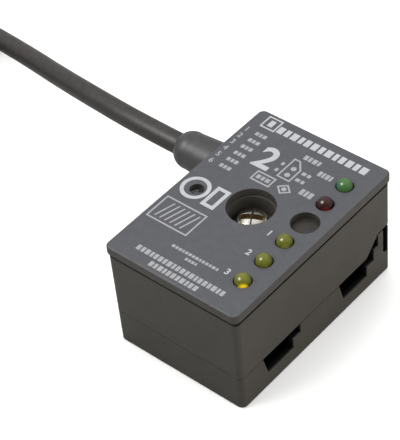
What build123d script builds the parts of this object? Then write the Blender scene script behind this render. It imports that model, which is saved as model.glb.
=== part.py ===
from build123d import *
import os
from math import cos, pi, radians, sin, tan

# Field bus module on a flat-cable base. Millimetres, +Z up.
# Origin: centre of the base's underside. +Y is the hook end, the lead leaves towards -X.

os.makedirs("parts", exist_ok=True)

# Overall size
cover_width = 30.0
cover_length = 44.6
cover_thickness = 1.65
cover_corner = 1.3
cover_edge = 0.35            # rounding of the cover's upper edge
inset_foot = 0.34            # body side behind the cover's edge, at the foot
inset_top = 0.26             # the same, right under the cover
body_corner = 1.2
inner_corner = 0.8

# Base
parting_height = 8.0
base_wall = 1.2
base_floor = 1.6
foot_chamfer = 0.3
spine_width = 13.0
rib_thickness = 1.1

# Flat cables, two alike, lying along X
cable_width = 10.0
cable_height = 4.0
cable_play = 0.325           # all round the cable
cable_slant = 1.25           # how far the slanted side leans
nose_width = 2.2
nose_height = 2.25
near_land = 6.45             # from the near end of the cover to the first channel

# Hook end of the base, counted back from the far end
end_wall = 0.9
end_wall_clear = 1.0         # from its top to the housing's raised underside
end_wall_lead = 0.5
slot_width = 1.45
slot_floor = 4.95
post_thickness = 1.45
post_clear = 0.5             # from its top to the housing's raised underside
ledge_width = 1.4
ledge_rise = 0.45

# Upper housing
housing_wall = 1.2
housing_floor = 1.4
step_height = 11.8           # underside over the hook end
step_lean = 3.7              # how far the slanted edge leans back
step_chamfer = 0.6
seam_height = 0.2
seam_depth = 0.2
rim_groove_height = 0.85     # under the cover
rim_groove_depth = 0.3
tongue_width = 16.0
tongue_play = 0.225          # to each side in the slot
tongue_clear = 1.2           # above the slot's floor

# Fixing screw, its tube and its insert
screw_x = 0.0                # on the middle plane
shank_diameter = 3.0
shank_play = 0.1             # radial, in the housing's tube
thread_play = 0.05           # radial, in the insert
tip_clear = 0.85             # from the insert's lower end to the tip
head_diameter = 5.5
head_height = 2.4
head_depth = 2.35            # from the cover's face to the top of the head
head_round = 0.7
recess_width = 0.9
recess_arm = 3.4
recess_depth = 1.3
recess_slot_depth = 0.8
recess_angle = 30.0
cup_bore = 8.6
cup_wall = 1.2
cup_floor = 1.2
tube_wall = 1.6
cover_hole_step = 0.3        # the cover's screw hole beyond the cup's bore
seal_thickness = 0.8
seal_diameter = 7.4
ring_thickness = 0.6
ring_width = 1.15
ring_play = 0.05
groove_depth = 0.3
insert_diameter = 4.8
insert_length = 5.9
insert_play = 0.02
insert_chamfer = 0.3

# Fixing holes through the base
fixing_pitch = 19.6
fixing_hole = 3.4
fixing_boss = 7.0
fixing_boss_height = 3.6

# Lamps and window, one straight row of six places
row_edge = 4.65              # from the row to the cover's right edge
row_pitch = 5.77
row_places = 6
row_shift = 0.15             # of the row's middle towards the near end
window_index = 2
lamp_diameter = 3.0
lamp_hole_play = 0.2
lamp_proud = 1.5
lamp_height = 5.2
lamp_flange = 3.9
lamp_flange_height = 1.0
leg_pitch = 2.54
leg_square = 0.5
window_hole = 5.4
window_play = 0.05
window_depth = 1.3           # recess above the window
window_rim = 0.2
window_rim_height = 0.8
receiver_size = 3.0
receiver_body = 2.0
receiver_lens = 2.4
receiver_lens_height = 0.6

# Filling hole
fill_edge = 4.2              # from the hole to the cover's left edge
fill_back = 2.2              # from the screw's axis towards the near end
fill_hole = 2.8
plug_depth = 1.1
plug_head = 3.9
plug_head_height = 0.7

# Cover rib that drops into the housing
rib_play = 0.15
rib_width = 0.8
rib_drop = 0.9

# Circuit board
board_clear = 0.7            # under the board, over the raised floor
board_thickness = 1.6
board_play = 0.3
board_tube_play = 0.4
board_post = 2.4
component_room = 7.1         # over the board, up to the cover
notch_length = 8.8
notch_reach = 3.6            # from the strain relief's flange into the board

# Board components
edge_gap = 0.8
part_gap = 1.0
chip_height = 1.6
chip_lift = 0.15
chip_bevel = 0.2
chip_leg_reach = 0.9
chip_leg_width = 0.35
chip_leg_pitch = 1.0
chip_leg_height = 0.25
bus_chip_width = 4.4
bus_chip_length = 7.0
controller_width = 4.6
controller_length = 8.0
choke_flange = 4.6
choke_core = 3.6
choke_flange_height = 0.7
choke_height = 3.6
can_diameter = 4.0
can_foot = 4.2
can_foot_height = 0.6
can_clear = 1.2              # from its top to the cover
can_round = 0.4
switch_width = 4.4
switch_length = 3.6
switch_height = 1.6
tab_width = 3.2
tab_reach = 1.2
switch_leg_width = 0.6
switch_leg_pitch = 3.0
tab_height = 0.3
resistor_width = 1.6
resistor_length = 0.8
resistor_height = 0.5
resistor_pitch = 1.6
resistor_count = 5

# Piercing contacts
pin_diameter = 1.2
pin_point = 0.2
pin_pitch_x = 4.0
pin_pitch_y = 3.6            # spacing of the cable's two conductors
pin_reach = 3.35             # of the points below the housing
pin_tip_length = 1.6
pin_play = 0.1
pin_stand = 0.4              # solder end above the board
pad_length = 11.0
pad_width = 7.0
pad_thickness = 1.0
pad_proud = 0.2
block_length = 9.0
block_width = 5.0
block_height = 2.6
block_bevel = 0.4

# Lead, strain relief and cores
lead_diameter = 4.4
lead_rise = 1.75             # of the lead's axis over the board's underside
lead_back = 9.8              # from the lead's axis to the far end of the cover
relief_reach = 12.45         # of the bell beyond the cover's edge
relief_root = 8.9
relief_belly = 7.6
relief_belly_back = 2.9      # from the bell's tip to its belly
relief_tip = 5.2
relief_tip_round = 0.6
relief_neck = 6.2
relief_neck_play = 0.05
relief_flange = 7.4
relief_flange_thickness = 1.0
core_diameter = 1.0
core_columns = 3
core_rows = 2
core_pitch = 1.4
core_peak = 1.9              # of the lower row over the board
core_clear = 0.6             # from the notch to the lower row's peak
core_row_run = 1.6           # the upper row's peak is this much further
core_row_rise = 2.5          # and this much higher
core_seat = 0.31             # the slanted ends start this far from the flange
core_bend = 0.58
end_core_diameter = 1.3
end_core_length = 18.0
end_core_spread = 1.6
end_core_ring = 1.35
end_core_seat = 0.28         # from the sheath's end to the cores' tilted ends
end_core_turn = 30.0
ferrule_diameter = 1.2
ferrule_length = 6.0

# Route of the lead, chosen by hand: run from the bell's tip, offset to the side,
# share of the exit's height over the floor
lead_plan = [
    (0.0, 0.0, 1.0),
    (11.0, 0.0, 1.0),
    (25.0, 2.0, 0.88),
    (38.5, 5.4, 0.632),
    (52.0, 9.3, 0.368),
    (64.5, 12.3, 0.148),
    (75.5, 14.1, 0.02),
    (83.0, 14.7, 0.008),
]

# Coil of the lead's put-away length: three turns below, two above
coil_run = 90.5              # from the bell's tip to the coil's centre
coil_side = -14.7
coil_radius = 25.0
coil_low_turns = 3
coil_high_turns = 2
coil_layer = 0.866           # rise to the nested upper layer, in diameters
coil_round = 1.1

# Free end of the lead, off the upper layer and down along the coil's outside:
# angle round the coil, distance beyond coil_radius and height, both in diameters
tail_plan = [
    (82, 0.82, 1.56),
    (104, 1.23, 1.48),
    (126, 1.64, 1.25),
    (148, 1.93, 0.92),
    (170, 2.07, 0.62),
    (192, 2.10, 0.51),
    (214, 2.10, 0.51),
    (231, 2.11, 0.51),
    (244, 2.12, 0.51),
]

# Places along X
row_x = cover_width / 2 - row_edge
fill_x = fill_edge - cover_width / 2

# Heights, layer by layer from the foot up
post_top = step_height - post_clear
end_wall_top = step_height - end_wall_clear
floor_top = parting_height + housing_floor
step_top = step_height + housing_floor
board_height = step_top + board_clear
board_top = board_height + board_thickness
cover_under = board_top + component_room
cover_face = cover_under + cover_thickness
head_top = cover_face - head_depth
head_seat = head_top - head_height
cup_seat = head_seat - seal_thickness
insert_low = parting_height - insert_length
window_low = cover_under - window_rim_height
lead_height = board_height + lead_rise


def body_inset(height):
    """How far the drafted side lies behind the cover's edge at a height."""
    return inset_foot + (inset_top - inset_foot) * height / cover_under


# Places along Y
near_end = -cover_length / 2
far_end = cover_length / 2
channel_width = cable_width + 2 * cable_play
channel_depth = cable_height + 2 * cable_play
channel_near = near_end + near_land
slot_far = far_end - body_inset(parting_height) - end_wall
post_far = slot_far - slot_width
post_near = post_far - post_thickness
channel_far = post_near - ledge_width - channel_width
strip_width = channel_far - channel_near - channel_width
screw_y = channel_near + channel_width + strip_width / 2
row_y = [row_pitch * ((row_places - 1) / 2 - place) - row_shift for place in range(row_places)]
window_y = row_y[window_index]
fill_y = screw_y - fill_back
lead_y = far_end - lead_back

# Lead and coil
relief_end = cover_width / 2 + relief_reach
lead_radius = lead_diameter / 2
coil_x = -relief_end - coil_run
coil_y = lead_y + coil_side
lead_route = [(-relief_end - run, lead_y + side, lead_radius + share * (lead_height - lead_radius))
              for run, side, share in lead_plan]
tail_reach = [(radians(angle), coil_radius + out * lead_diameter, height * lead_diameter)
              for angle, out, height in tail_plan]
tail_route = [(coil_x + reach * cos(angle), coil_y + reach * sin(angle), height)
              for angle, reach, height in tail_reach]

# Screw, cup and tube
cup_diameter = cup_bore + 2 * cup_wall
tube_bore = shank_diameter + 2 * shank_play
tube_diameter = tube_bore + 2 * tube_wall
groove_diameter = shank_diameter - 2 * groove_depth


def outline(height, back=0.0):
    """The body's rounded outline at a height, moved inwards by back."""
    inset = 2 * (body_inset(height) + back)
    corner = max(body_corner - back, inner_corner)
    return Plane.XY.offset(height) * RectangleRounded(cover_width - inset, cover_length - inset, corner)


def drafted_block(low, high, bevel=0.0):
    sections = [outline(low, bevel), outline(low + bevel)] if bevel else [outline(low)]
    return loft(sections + [outline(high)], ruled=True)


def across(points):
    """A profile given as (y, z) points, cut or filled right across the module."""
    profile = Plane.YZ * make_face(Polyline(*points, close=True))
    return extrude(profile, cover_width, both=True)


def round_bar(diameter, low, high, x=0.0, y=0.0):
    bar = Cylinder(diameter / 2, high - low, align=(Align.CENTER, Align.CENTER, Align.MIN))
    return Pos(x, y, low) * bar


def block(width, length, low, high, x=0.0, y=0.0):
    body = Box(width, length, high - low, align=(Align.CENTER, Align.CENTER, Align.MIN))
    return Pos(x, y, low) * body


def top_edges(body):
    return body.faces().sort_by(Axis.Z)[-1].edges()


def cavity_size(back=0.0):
    """Width and length inside the housing's walls, less a gap all round."""
    inset = 2 * (body_inset(parting_height) + housing_wall + back)
    return cover_width - inset, cover_length - inset


def pad_centre(start):
    """Middle of a channel's flat floor."""
    return start + (channel_width - nose_width + cable_slant) / 2


def pin_places(start):
    middle = pad_centre(start)
    return [(-pin_pitch_x / 2, middle - pin_pitch_y / 2), (pin_pitch_x / 2, middle + pin_pitch_y / 2)]


def board_posts():
    width, length = cavity_size(board_play + board_post / 2)
    return [(x, y) for x in (-width / 2, width / 2) for y in (-length / 2, length / 2)]


# Base

def channel(start):
    """One flat-cable channel: slanted side, floor, step and nose."""
    floor = parting_height - channel_depth
    nose_edge = start + channel_width
    corner = nose_edge - nose_width
    over = parting_height + ledge_rise
    return across([
        (start, over),
        (start, parting_height),
        (start + cable_slant, floor),
        (corner, floor),
        (corner, parting_height - nose_height),
        (nose_edge, parting_height - nose_height),
        (nose_edge, over),
    ])


def base_side():
    """Side view of the base, before its channels are cut."""
    ledge = parting_height + ledge_rise
    slot_corner = slot_width / 2
    return across([
        (near_end, 0),
        (near_end, parting_height),
        (channel_far + cable_slant, parting_height),
        (channel_far + channel_width, ledge),
        (post_near, ledge),
        (post_near, post_top),
        (post_far, post_top),
        (post_far, slot_floor + slot_corner),
        (post_far + slot_corner, slot_floor),
        (slot_far, slot_floor),
        (slot_far, end_wall_top - end_wall_lead),
        (slot_far + end_wall_lead, end_wall_top),
        (far_end, end_wall_top),
        (far_end, 0),
    ])


def base_hollow():
    """Space left open to both sides of the spine, round the ribs and bosses."""
    inner_width = cover_width - 2 * (body_inset(0) + base_wall)
    near = near_end + body_inset(0) + base_wall
    far = channel_far + channel_width
    hollow = block(inner_width, far - near, base_floor, post_top, y=(near + far) / 2)
    hollow -= block(spine_width, cover_length, 0, post_top)
    for side in (-1, 1):
        rib_y = screw_y + side * (strip_width - rib_thickness) / 2
        hollow -= block(cover_width, rib_thickness, 0, parting_height, y=rib_y)
        hollow -= round_bar(fixing_boss, 0, fixing_boss_height, side * fixing_pitch / 2, screw_y)
    return hollow


def make_base():
    base = drafted_block(0, post_top, foot_chamfer) & base_side()
    base -= base_hollow()
    base -= channel(channel_near)
    base -= channel(channel_far)
    base -= round_bar(insert_diameter + 2 * insert_play, insert_low, post_top, screw_x, screw_y)
    for side in (-1, 1):
        base -= round_bar(fixing_hole, -1, post_top, side * fixing_pitch / 2, screw_y)
    return base


# Upper housing

def step_cut(rise):
    """Space under the hook end, its edges raised by rise."""
    slant_high = post_near - rise / 2
    return across([
        (slant_high - step_lean, 0),
        (slant_high - step_lean, parting_height + rise),
        (slant_high, step_height + rise),
        (2 * far_end, step_height + rise),
        (2 * far_end, 0),
    ])


def housing_shell():
    outer = drafted_block(parting_height, cover_under) - step_cut(0)
    width, length = cavity_size()
    floor = Plane.XY.offset(floor_top)
    cavity = extrude(floor * RectangleRounded(width, length, inner_corner), cover_face - floor_top)
    shell = outer - (cavity - step_cut(housing_floor))
    seam = extrude(outline(parting_height) - outline(parting_height, seam_depth), seam_height)
    groove_low = cover_under - rim_groove_height
    groove = outline(groove_low, -rim_groove_depth) - outline(groove_low, rim_groove_depth)
    groove = extrude(groove, rim_groove_height)
    far_face = far_end - body_inset(step_height)
    corner = across([
        (far_face - step_chamfer, step_height),
        (2 * far_end, step_height + 2 * far_end - far_face + step_chamfer),
        (2 * far_end, step_height),
    ])
    return shell - seam - groove - corner


def make_housing():
    housing = housing_shell()
    housing += round_bar(tube_diameter, parting_height, cup_seat, screw_x, screw_y)
    housing += round_bar(cup_diameter, cup_seat - cup_floor, cover_under, screw_x, screw_y)
    housing -= round_bar(cup_bore, cup_seat, cover_face, screw_x, screw_y)
    housing -= round_bar(tube_bore, 0, cover_face, screw_x, screw_y)
    ring_room = shank_diameter + 2 * (ring_width + ring_play)
    housing -= round_bar(ring_room, 0, parting_height + 2 * ring_thickness + ring_play, screw_x, screw_y)

    for post_x, post_y in board_posts():
        low = step_height if post_y > channel_far else parting_height
        housing += round_bar(board_post, low + housing_floor / 2, board_height, post_x, post_y)

    tongue_low = slot_floor + tongue_clear
    housing += block(tongue_width, slot_width - 2 * tongue_play, tongue_low, step_top,
                     y=(post_far + slot_far) / 2)

    for start in (channel_near, channel_far):
        housing -= block(pad_length, pad_width, 0, parting_height + pad_thickness - pad_proud,
                         y=pad_centre(start))
        for pin_x, pin_y in pin_places(start):
            housing -= round_bar(pin_diameter + 2 * pin_play, 0, board_height, pin_x, pin_y)

    neck = Rot(0, -90, 0) * round_bar(relief_neck + 2 * relief_neck_play, 0, cover_width / 2)
    return housing - Pos(-cover_width / 4, lead_y, lead_height) * neck


# Cover and what shows in it

def make_cover():
    face = Plane.XY.offset(cover_under)
    cover = extrude(face * RectangleRounded(cover_width, cover_length, cover_corner), cover_thickness)
    cover = fillet(top_edges(cover), cover_edge)
    width, length = cavity_size(rib_play)
    rib = RectangleRounded(width, length, inner_corner)
    rib -= RectangleRounded(width - 2 * rib_width, length - 2 * rib_width, inner_corner / 2)
    rib = extrude(face * rib, -rib_drop)
    rib -= round_bar(window_hole + 2 * (window_rim + rib_play), 0, cover_under, row_x, window_y)
    rib -= round_bar(plug_head + 2 * rib_play, 0, cover_under, fill_x, fill_y)
    cover += rib
    cover -= round_bar(cup_bore + 2 * cover_hole_step, 0, 2 * cover_face, screw_x, screw_y)
    cover -= round_bar(fill_hole, 0, 2 * cover_face, fill_x, fill_y)
    for place, y in enumerate(row_y):
        hole = window_hole if place == window_index else lamp_diameter + 2 * lamp_hole_play
        cover -= round_bar(hole, 0, 2 * cover_face, row_x, y)
    return cover


def legs(high, y):
    """Two square legs from the board up into a lamp or the receiver."""
    return [block(leg_square, leg_square, board_top, high, row_x + side * leg_pitch / 2, y)
            for side in (-1, 1)]


def make_lamp(place):
    y = row_y[place]
    low = cover_face + lamp_proud - lamp_height
    shoulder = low + lamp_height - lamp_diameter / 2
    lamp = round_bar(lamp_flange, low, low + lamp_flange_height, row_x, y)
    lamp += round_bar(lamp_diameter, low, shoulder, row_x, y)
    lamp += Pos(row_x, y, shoulder) * Sphere(lamp_diameter / 2)
    return lamp + legs(low + lamp_flange_height / 2, y)


def make_window():
    window = round_bar(window_hole - 2 * window_play, window_low, cover_face - window_depth, row_x, window_y)
    window += round_bar(window_hole + 2 * window_rim, window_low, cover_under, row_x, window_y)
    return window


def make_receiver():
    lens_low = window_low - receiver_lens_height
    body_low = lens_low - receiver_body
    receiver = block(receiver_size, receiver_size, body_low, lens_low, row_x, window_y)
    receiver += round_bar(receiver_lens, lens_low, window_low, row_x, window_y)
    return receiver + legs(body_low + leg_square, window_y)


def make_plug():
    plug = round_bar(fill_hole, cover_under, cover_face - plug_depth, fill_x, fill_y)
    plug += round_bar(plug_head, cover_under - plug_head_height, cover_under, fill_x, fill_y)
    return plug


# Fixing screw and what goes with it

def screw_ring(outer, inner, low, high):
    ring = round_bar(outer, low, high, screw_x, screw_y)
    return ring - round_bar(inner, low - 1, high + 1, screw_x, screw_y)


def screw_recess():
    """A cross with one arm run out to a full slot."""
    arm = block(recess_arm, recess_width, head_top - recess_depth, cover_face)
    cross = arm + Rot(0, 0, 90) * arm
    cross += block(2 * head_diameter, recess_width, head_top - recess_slot_depth, cover_face)
    return Pos(screw_x, screw_y, 0) * Rot(0, 0, recess_angle) * cross


def make_screw():
    head = round_bar(head_diameter, head_seat, head_top, screw_x, screw_y)
    head = fillet(top_edges(head), head_round)
    shank = round_bar(shank_diameter, insert_low + tip_clear, head_seat, screw_x, screw_y)
    shank = chamfer(shank.faces().sort_by(Axis.Z)[0].edges(), groove_depth)
    groove_low = parting_height + ring_thickness - ring_play
    groove_high = groove_low + ring_thickness + 2 * ring_play
    shank -= screw_ring(head_diameter, groove_diameter, groove_low, groove_high) & round_bar(
        head_diameter, groove_low, groove_high, screw_x, screw_y)
    return head + shank - screw_recess()


def make_retaining_ring():
    """Open ring in the screw's groove."""
    low = parting_height + ring_thickness
    ring = screw_ring(shank_diameter + 2 * ring_width, groove_diameter + 2 * ring_play, low, low + ring_thickness)
    mouth = block(groove_diameter, head_diameter, 0, cover_face, screw_x, screw_y + head_diameter / 2)
    return ring - mouth


def make_screw_seal():
    seal = screw_ring(seal_diameter, tube_bore, cup_seat, head_seat)
    rim = top_edges(seal).sort_by(SortBy.LENGTH)[-1]
    return chamfer(rim, seal_thickness / 4)


def make_insert():
    insert = screw_ring(insert_diameter, shank_diameter + 2 * thread_play, insert_low, parting_height)
    mouth = top_edges(insert).sort_by(SortBy.LENGTH)[0]
    return chamfer(mouth, insert_chamfer)


# Circuit board and its components

board_width, board_length = cavity_size(board_play)
core_start = cavity_size()[0] / 2 - relief_flange_thickness
leg_edge = row_x - (leg_pitch + leg_square) / 2
left_column = -(board_width / 2 + tube_diameter / 2 - screw_x) / 2
right_column = (screw_x + tube_diameter / 2 + leg_edge) / 2
controller_x = (leg_edge - (pin_pitch_x - pin_diameter) / 2) / 2
board_near = -board_length / 2 + edge_gap
board_far = board_length / 2 - edge_gap


def make_board():
    corner = RectangleRounded(board_width, board_length, inner_corner)
    board = extrude(Plane.XY.offset(board_height) * corner, board_thickness)
    board -= round_bar(tube_diameter + 2 * board_tube_play, 0, cover_face, screw_x, screw_y)
    notch_edge = notch_reach - core_start
    board -= block(board_width, notch_length, 0, cover_face, notch_edge - board_width / 2, lead_y)
    for start in (channel_near, channel_far):
        for pin_x, pin_y in pin_places(start):
            board -= round_bar(pin_diameter + 2 * pin_play, 0, cover_face, pin_x, pin_y)
    return board


def make_chip(width, length, x, y):
    """A flat package with legs along both long sides."""
    chip = block(width, length, board_top + chip_lift, board_top + chip_height, x, y)
    chip = chamfer(top_edges(chip), chip_bevel)
    count = int(length / chip_leg_pitch)
    for number in range(count):
        leg_y = y + (number - (count - 1) / 2) * chip_leg_pitch
        chip += block(width + 2 * chip_leg_reach, chip_leg_width, board_top, board_top + chip_leg_height,
                      x, leg_y)
    return chip


def make_choke(y):
    top = board_top + choke_height
    choke = round_bar(choke_core, board_top, top, left_column, y)
    choke += round_bar(choke_flange, board_top, board_top + choke_flange_height, left_column, y)
    return choke + round_bar(choke_flange, top - choke_flange_height, top, left_column, y)


def make_capacitor():
    y = board_far - can_foot / 2
    foot_top = board_top + can_foot_height
    can = round_bar(can_diameter, foot_top, cover_under - can_clear, right_column, y)
    can = fillet(top_edges(can), can_round)
    return can + block(can_foot, can_foot, board_top, foot_top, right_column, y)


def make_switch():
    y = board_far - can_foot - part_gap - tab_reach - switch_length / 2
    switch = block(switch_width, switch_length, board_top, board_top + switch_height, right_column, y)
    tab_y = (switch_length + tab_reach) / 2
    switch += block(tab_width, tab_reach, board_top, board_top + tab_height, right_column, y + tab_y)
    for side in (-1, 1):
        leg_x = right_column + side * switch_leg_pitch / 2
        switch += block(switch_leg_width, tab_reach, board_top, board_top + tab_height, leg_x, y - tab_y)
    return switch


def make_resistors():
    first = screw_y - (resistor_count - 1) / 2 * resistor_pitch
    return Compound(children=[
        block(resistor_width, resistor_length, board_top, board_top + resistor_height,
              right_column, first + number * resistor_pitch)
        for number in range(resistor_count)
    ])


# Piercing contacts

def make_pins(start):
    pins = []
    point = parting_height - pin_reach
    for x, y in pin_places(start):
        pin = round_bar(pin_diameter, point + pin_tip_length, board_top + pin_stand, x, y)
        tip = Cone(pin_point / 2, pin_diameter / 2, pin_tip_length,
                   align=(Align.CENTER, Align.CENTER, Align.MIN))
        pins.append(pin + Pos(x, y, point) * tip)
    return Compound(children=pins)


def pierced(body, start):
    for x, y in pin_places(start):
        body -= round_bar(pin_diameter, 0, cover_face, x, y)
    return body


def make_pad(start):
    low = parting_height - pad_proud
    return pierced(block(pad_length, pad_width, low, low + pad_thickness, y=pad_centre(start)), start)


def make_contact_block(start):
    body = block(block_length, block_width, floor_top, floor_top + block_height, y=pad_centre(start))
    return pierced(chamfer(top_edges(body), block_bevel), start)


# Lead

def make_relief():
    """Bell outside, neck in the wall and flange inside, turned as one piece."""
    root = cover_width / 2 - body_inset(lead_height + relief_root / 2)
    wall_in = cavity_size()[0] / 2
    flange_in = wall_in - relief_flange_thickness
    belly = (relief_end - relief_belly_back, relief_belly / 2)
    turn = (relief_end - relief_tip_round, (relief_belly + relief_tip) / 4)
    tip = (relief_end, relief_tip / 2)
    outer = Polyline(
        (flange_in, 0),
        (flange_in, relief_flange / 2),
        (wall_in, relief_flange / 2),
        (wall_in, relief_neck / 2),
        (root, relief_neck / 2),
        (root, relief_root / 2),
        belly,
    )
    nose = ThreePointArc(belly, turn, tip)
    axis = Polyline(tip, (relief_end, 0), (flange_in, 0))
    bell = revolve(make_face(Curve() + [outer, nose, axis]), Axis.X)
    return Pos(0, lead_y, lead_height) * Rot(0, 0, 180) * bell


def bend_radii(points):
    """Each bend as large as its two runs allow."""
    radii = []
    for before, corner, after in zip(points, points[1:], points[2:]):
        run_in = Vector(*corner) - Vector(*before)
        run_out = Vector(*after) - Vector(*corner)
        half_turn = radians(run_in.get_angle(run_out)) / 2
        radii.append(0.45 * min(run_in.length, run_out.length) / tan(half_turn))
    return radii


def tube_along(points, diameter, radii=None):
    path = FilletPolyline(*points, radius=radii or bend_radii(points))
    start = Plane(origin=path @ 0, z_dir=path % 0)
    return sweep(start * Circle(diameter / 2), path=path), path.length


def make_tube(name, points, diameter):
    tube, length = tube_along(points, diameter)
    radii = [round(radius, 1) for radius in bend_radii(points)]
    share = tube.volume / (pi * diameter ** 2 / 4 * length)
    print(f"{name}: {length:.1f} mm long, bend radii {radii}, volume {share:.4f} of section times length")
    return tube


def make_inner_cores():
    """Cores from the strain relief's flange, up over the board's notch and down to the board."""
    cores = []
    for row in range(core_rows):
        z = lead_height + (row - (core_rows - 1) / 2) * core_pitch
        peak_x = notch_reach + core_clear + row * core_row_run - core_start
        peak_z = board_top + core_peak + row * core_row_rise
        for column in range(core_columns):
            y = lead_y + (column - (core_columns - 1) / 2) * core_pitch
            points = [(core_seat - core_start, y, z), (peak_x, y, peak_z), (peak_x, y, board_top)]
            cores.append(tube_along(points, core_diameter, [core_bend])[0])
    return Compound(children=cores)


def make_coil():
    """Outer shape of the wound lead."""
    low = coil_low_turns * lead_radius
    high = coil_high_turns * lead_radius
    top = lead_diameter * (1 + coil_layer)
    half = [(low - coil_round, 0), (low, coil_round), (low, lead_radius), (high, top - coil_round),
            (high - coil_round, top)]
    other = [(-x, z) for x, z in reversed(half)]
    ring = revolve(Plane.XZ * Pos(coil_radius, 0) * make_face(Polyline(*half, *other, close=True)), Axis.Z)
    return Pos(coil_x, coil_y, 0) * ring


def core_fan():
    """Routes of the open cores, from the sheath's end to a flat fan on the floor."""
    sheath_end = Vector(*tail_route[-1])
    ahead = (sheath_end - Vector(*tail_route[-2])).normalized()
    turned = ahead.rotate(Axis.Z, end_core_turn)
    side = Vector(-ahead.Y, ahead.X, 0)
    down = Vector(0, 0, end_core_diameter / 2 - sheath_end.Z)
    ranks = (1, 0, 2, 4, 5, 3)
    routes = []
    for number, rank in enumerate(ranks):
        angle = 2 * pi * (number + 0.5) / len(ranks)
        out = side * (end_core_ring * cos(angle)) + Vector(0, 0, end_core_ring * sin(angle))
        spread = side * (-rank * end_core_spread)
        half_length = end_core_length / 2
        routes.append([
            sheath_end + out + ahead * end_core_seat,
            sheath_end + ahead * half_length + spread / 2 + down,
            sheath_end + (ahead + turned) * half_length + spread + down,
        ])
    return routes


def make_core_ends():
    return Compound(children=[
        make_tube(f"core {number + 1}", points, end_core_diameter)
        for number, points in enumerate(core_fan())
    ])


def make_ferrules():
    ferrules = []
    for points in core_fan():
        start = Plane(origin=points[-1], z_dir=points[-1] - points[-2])
        ferrule = Cylinder(ferrule_diameter / 2, ferrule_length, align=(Align.CENTER, Align.CENTER, Align.MIN))
        ferrules.append(start * ferrule)
    return Compound(children=ferrules)


bus_chip_y = screw_y - part_gap - bus_chip_length
controller_y = board_near + controller_length / 2
choke_ys = (board_near + choke_flange / 2, screw_y + part_gap + choke_flange / 2)

parts = {
    "top_cover": make_cover(),
    "upper_housing": make_housing(),
    "cable_base": make_base(),
    "fixing_screw": make_screw(),
    "screw_seal": make_screw_seal(),
    "retaining_ring": make_retaining_ring(),
    "threaded_insert": make_insert(),
    "power_led": make_lamp(0),
    "fault_led": make_lamp(1),
    "input_led_1": make_lamp(3),
    "input_led_2": make_lamp(4),
    "output_led": make_lamp(5),
    "infrared_window": make_window(),
    "receiver_diode": make_receiver(),
    "filler_plug": make_plug(),
    "circuit_board": make_board(),
    "bus_chip": make_chip(bus_chip_width, bus_chip_length, left_column, bus_chip_y),
    "controller_chip": make_chip(controller_width, controller_length, controller_x, controller_y),
    "chokes": Compound(children=[make_choke(y) for y in choke_ys]),
    "buffer_capacitor": make_capacitor(),
    "output_switch": make_switch(),
    "chip_resistors": make_resistors(),
    "bus_contacts": make_pins(channel_near),
    "supply_contacts": make_pins(channel_far),
    "bus_contact_block": make_contact_block(channel_near),
    "supply_contact_block": make_contact_block(channel_far),
    "bus_seal": make_pad(channel_near),
    "supply_seal": make_pad(channel_far),
    "strain_relief": make_relief(),
    "inner_cores": make_inner_cores(),
    "lead": make_tube("lead", lead_route, lead_diameter),
    "lead_coil": make_coil(),
    "lead_tail": make_tube("lead_tail", tail_route, lead_diameter),
    "core_ends": make_core_ends(),
    "core_ferrules": make_ferrules(),
}
for name, shape in parts.items():
    export_step(shape, f"parts/{name}.step")
print(len(parts), "sub-parts written")
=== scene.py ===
import math

import bmesh
import bpy
from mathutils import Matrix, Quaternion, Vector


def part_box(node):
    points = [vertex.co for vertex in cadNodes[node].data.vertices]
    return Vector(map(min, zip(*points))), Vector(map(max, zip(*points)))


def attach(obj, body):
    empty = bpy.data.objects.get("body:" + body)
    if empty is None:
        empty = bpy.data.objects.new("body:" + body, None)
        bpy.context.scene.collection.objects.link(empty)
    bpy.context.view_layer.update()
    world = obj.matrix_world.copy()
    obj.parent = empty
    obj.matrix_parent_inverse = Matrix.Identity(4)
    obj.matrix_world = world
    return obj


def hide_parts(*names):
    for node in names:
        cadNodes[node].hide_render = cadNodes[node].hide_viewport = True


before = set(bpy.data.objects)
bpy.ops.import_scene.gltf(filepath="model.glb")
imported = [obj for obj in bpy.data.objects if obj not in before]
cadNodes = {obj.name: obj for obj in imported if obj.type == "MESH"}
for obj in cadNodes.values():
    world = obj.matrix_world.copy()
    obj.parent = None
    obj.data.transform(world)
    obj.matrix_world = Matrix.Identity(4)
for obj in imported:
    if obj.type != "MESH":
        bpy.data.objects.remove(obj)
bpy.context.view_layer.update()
mm = 0.001
print("frame loaded:", len(cadNodes), "nodes")

# camera, placed where the photograph was taken from
photoView = {
    "place": (156.46, -172.08, 247.87),   # mm
    "azimuth": 44.484,
    "elevation": 44.108,
    "roll": -6.1817,
    "lens": 148.82,
    "sensor": 36.0,
    "clip": (0.01, 20),
}


def linkObject(name, data):
    obj = bpy.data.objects.new(name, data)
    bpy.context.scene.collection.objects.link(obj)
    return obj


def makeCamera(view):
    azimuth, elevation = math.radians(view["azimuth"]), math.radians(view["elevation"])
    back = Vector((math.sin(azimuth) * math.cos(elevation),
                   -math.cos(azimuth) * math.cos(elevation),
                   math.sin(elevation)))
    data = bpy.data.cameras.new("photoCamera")
    data.lens = view["lens"]
    data.sensor_width = view["sensor"]
    data.clip_start, data.clip_end = view["clip"]
    camera = linkObject("photoCamera", data)
    camera.rotation_mode = "QUATERNION"
    roll = Quaternion((0, 0, 1), math.radians(view["roll"]))
    camera.rotation_quaternion = (-back).to_track_quat("-Z", "Y") @ roll
    camera.location = Vector(view["place"]) * mm
    bpy.context.scene.camera = camera


makeCamera(photoView)
print("camera in place")

# places read off the frame
coverHigh = Vector(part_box("top_cover")[1])
faceHeight = coverHigh.z                      # the lid's face
halfWidth = coverHigh.x
halfLength = coverHigh.y


def middleOf(node):
    low, high = (Vector(corner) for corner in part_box(node))
    return (low + high) / 2


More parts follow.
